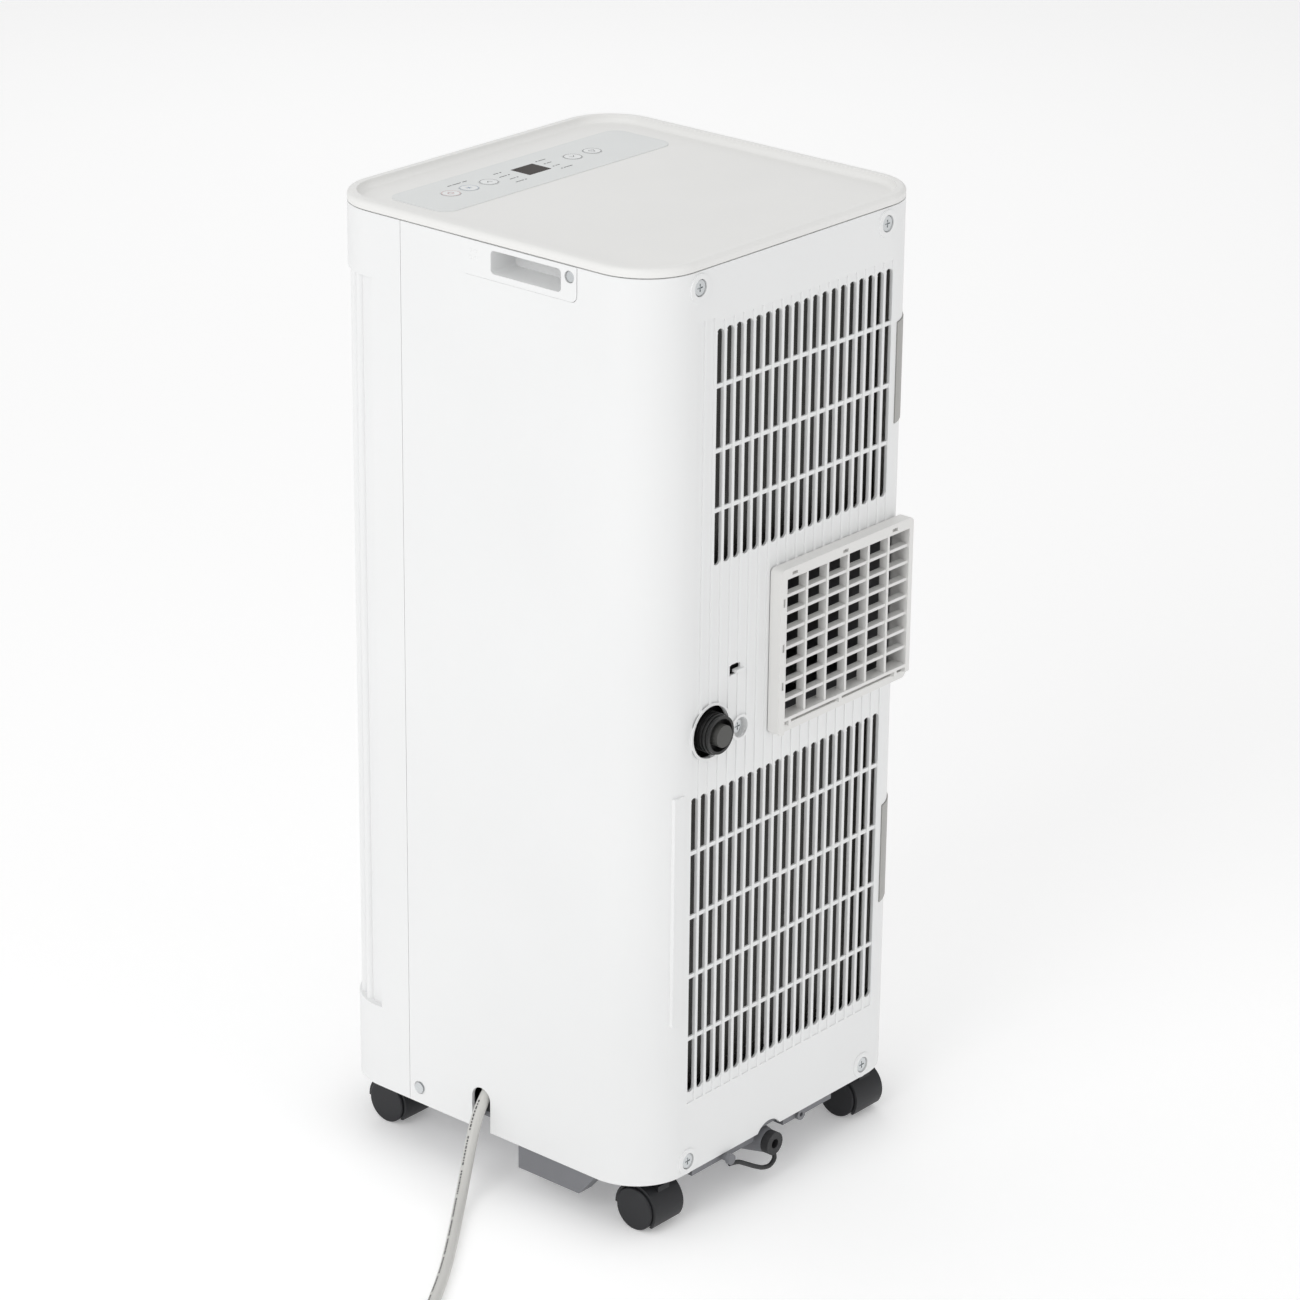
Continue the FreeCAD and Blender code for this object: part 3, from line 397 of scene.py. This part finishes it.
def cord_marks():
    """Row of short dashes printed along the cord."""
    points, run = cord_line()
    first, last = 0.012, run[-1] - 0.03
    lift = CORD_RADIUS + 0.00006
    sizes = (0.0016, 0.0010, 0.0022, 0.0013, 0.0018)
    space, wide_space, per_group = 0.0009, 0.0045, 9

    def at(distance):
        low = max(i for i, r in enumerate(run) if r <= distance)
        low = min(low, len(points) - 2)
        part = (distance - run[low]) / (run[low + 1] - run[low])
        return points[low].lerp(points[low + 1], part), (points[low + 1] - points[low]).normalized()

    mesh = bmesh.new()
    up = Vector((0.95, -0.04, 0.28))
    distance, count = first, 0
    while distance < last:
        size = sizes[count % len(sizes)]
        gap = wide_space if count % per_group == per_group - 1 else space
        rows = []
        for step in (0, size):
            centre, along = at(distance + step)
            up = (up - along * up.dot(along)).normalized()
            side = along.cross(up)
            rows.append([centre + (up * math.cos(a) + side * math.sin(a)) * lift
                         for a in (-0.14, -0.05, 0.05, 0.14)])
        corners = [[mesh.verts.new(p) for p in row] for row in rows]
        for i in range(3):
            mesh.faces.new((corners[0][i], corners[1][i], corners[1][i + 1], corners[0][i + 1]))
        distance += size + gap
        count += 1
    return mesh_piece("cord_marks", mesh, "casing", ink)


def coil_tie():
    """Flat tie round the stored turns."""
    outline = []
    bend = 4
    # Centres of the band's bends: it lies just clear of the turns all round
    near, far, bottom, top = 40.6 + bend, 59.4 - bend, 0.5 + bend, 26.6 - bend
    corners = ((far, bottom, -90), (far, top, 0), (near, top, 90), (near, bottom, 180))
    for centre_r, centre_z, start in corners:
        for step in range(7):
            a = math.radians(start + step * 15)
            outline.append((centre_r + bend * math.cos(a), centre_z + bend * math.sin(a)))
    mesh = bmesh.new()
    turn = math.radians(COIL_TIE_AT)
    radial = Vector((math.cos(turn), math.sin(turn), 0))
    along = Vector((-math.sin(turn), math.cos(turn), 0))
    middle = Vector((*COIL_CENTRE, 0))
    rows = [[mesh.verts.new((middle + radial * r + along * w + Vector((0, 0, z))) * MM)
             for r, z in outline] for w in (-4, -1.5, 1.5, 4)]
    for row, after in zip(rows, rows[1:]):
        for i in range(len(outline)):
            j = (i + 1) % len(outline)
            mesh.faces.new((row[i], row[j], after[j], after[i]))
    tie = mesh_piece("coil_tie", mesh, "casing", slots["drain_rubber"])
    thick = tie.modifiers.new("thickness", "SOLIDIFY")
    thick.thickness = 0.7 * MM
    thick.offset = 0
    return tie


# ---------------------------------------------------------------- printed and moulded marks

PRINT_LIFT = 0.05  # millimetres between a surface and the print on it


def mesh_piece(name, mesh, body, material):
    """Turn a bmesh into a piece that rides on a body."""
    bmesh.ops.recalc_face_normals(mesh, faces=mesh.faces)
    data = bpy.data.meshes.new(name)
    mesh.to_mesh(data)
    mesh.free()
    for face in data.polygons:
        face.use_smooth = True
    piece = bpy.data.objects.new(name, data)
    scene.collection.objects.link(piece)
    return attach(piece, body, material)


def ring_band(mesh, x, y, z, radius, width, start=0, sweep=360):
    """Flat printed arc, in millimetres."""
    steps = max(8, round(sweep / 7.5))
    pairs = []
    for i in range(steps + 1):
        a = math.radians(start + sweep * i / steps)
        pairs.append([mesh.verts.new(Vector((x + r * math.cos(a), y + r * math.sin(a), z)) * MM)
                      for r in (radius - width / 2, radius + width / 2)])
    for before, after in zip(pairs, pairs[1:]):
        mesh.faces.new((before[0], before[1], after[1], after[0]))


def stroke(mesh, start, end, z, width):
    """Flat printed bar with rounded ends, in millimetres."""
    start, end = Vector((*start, z)), Vector((*end, z))
    along = (end - start).normalized()
    side = Vector((-along.y, along.x, 0))
    rim = []
    for centre, first in ((end, -90), (start, 90)):
        for step in range(5):
            a = math.radians(first + step * 45)
            rim.append(centre + (along * math.cos(a) + side * math.sin(a)) * width / 2)
    mesh.faces.new([mesh.verts.new(p * MM) for p in rim])


def key_marks():
    """Ring and plain symbol on each key: switch, star, down, up and fan."""
    inks = {"power_key": pink_ink, "mode_key": blue_ink, "down_key": ink, "up_key": ink, "fan_key": ink}
    line, fine_line = 0.42, 0.36
    for node_name, material in inks.items():
        low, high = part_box(node_name)
        x, y = (low[0] + high[0]) / 2 / MM, (low[1] + high[1]) / 2 / MM
        z = high[2] / MM + PRINT_LIFT
        mesh = bmesh.new()
        ring_band(mesh, x, y, z, 6.35, 0.34)
        if node_name == "power_key":
            ring_band(mesh, x, y, z, 2.1, line, 125, 290)
            stroke(mesh, (x, y + 0.6), (x, y + 2.7), z + 0.01, line)
        elif node_name == "mode_key":
            for turn in (0, 60, 120):
                a = math.radians(turn)
                reach = Vector((math.cos(a), math.sin(a))) * 2.3
                lift = z + turn / 6000
                stroke(mesh, (x - reach.x, y - reach.y), (x + reach.x, y + reach.y), lift, fine_line)
        elif node_name == "fan_key":
            for turn in (90, 210, 330):
                a = math.radians(turn)
                leaf_x, leaf_y = x + 1.35 * math.cos(a), y + 1.35 * math.sin(a)
                ring_band(mesh, leaf_x, leaf_y, z, 1.1, fine_line, turn - 100, 250)
        else:
            rise = 1.2 if node_name == "up_key" else -1.2
            stroke(mesh, (x - 2.2, y - rise), (x, y + rise), z, line)
            stroke(mesh, (x, y + rise), (x + 2.2, y - rise), z + 0.01, line)
        mesh_piece(node_name + "_marks", mesh, node_name, material)


def film_marks():
    """Indicator dots beside the display, each with a dash, and a dash line by the first two keys."""
    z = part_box("control_overlay")[1][2] / MM + PRINT_LIFT
    thick, space, to_dash = 0.9, 0.9, 2.4
    mesh = bmesh.new()
    # Each row's y, and the lengths of its dashes to +X and to -X of the display
    rows = ((-98.1, 5.2, 7.4), (-90.2, 7.6, 5.0), (-82.0, 5.8, 4.4), (-74.2, 8.4, 9.0))
    for y, long_left, long_right in rows:
        for x, way, long in ((20.8, 1, long_left), (-16.2, -1, long_right)):
            stroke(mesh, (x - 0.25, y), (x + 0.25, y), z, 1.3)
            reach = x + way * to_dash
            pieces = 3 if long > 6 else 2
            each = long / pieces
            for i in range(pieces):
                begin = reach + way * each * i
                stroke(mesh, (begin, y), (begin + way * (each - space), y), z, thick)
    line_start, line_y, pitch = 70.5, -101, 5
    for i, long in enumerate((3.2, 4.4, 2.6, 3.6)):
        begin = line_start - pitch * i
        stroke(mesh, (begin, line_y), (begin - long, line_y), z, thick)
    mesh_piece("film_marks", mesh, "casing", ink)


def handle_marks():
    """Four small raised pips moulded in each handle plate, beside the grip."""
    for name in ("carry_handle_right", "carry_handle_left"):
        low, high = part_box(name)
        face, way = (high[0], 1) if high[0] > 0 else (low[0], -1)
        mesh = bmesh.new()
        for y in (-9.5, -5.0):
            for z in (685.0, 690.0):
                made = bmesh.ops.create_uvsphere(mesh, u_segments=20, v_segments=10, radius=1.5 * MM)
                for vert in made["verts"]:
                    vert.co = (face + way * (vert.co.x * 0.28), vert.co.y + y * MM, vert.co.z + z * MM)
        mesh_piece(name + "_pips", mesh, "casing", slots["white_shell"])


# ---------------------------------------------------------------- assembly

make_camera()
make_studio()
slots = slot_materials()
ink = moulded("print_ink", (0.06, 0.06, 0.064), 0.6, 2500, 0.000004, 0.006, specular=0.15)
pink_ink = moulded("print_pink", (0.50, 0.22, 0.22), 0.6, 2500, 0.000004, 0.01, specular=0.15)
blue_ink = moulded("print_blue", (0.22, 0.30, 0.42), 0.6, 2500, 0.000004, 0.01, specular=0.15)
make_cord()
key_marks()
film_marks()
handle_marks()
for name in ("rear_casing", "front_panel", "top_cover", "carry_handle_right", "carry_handle_left"):
    soften(nodes[name])
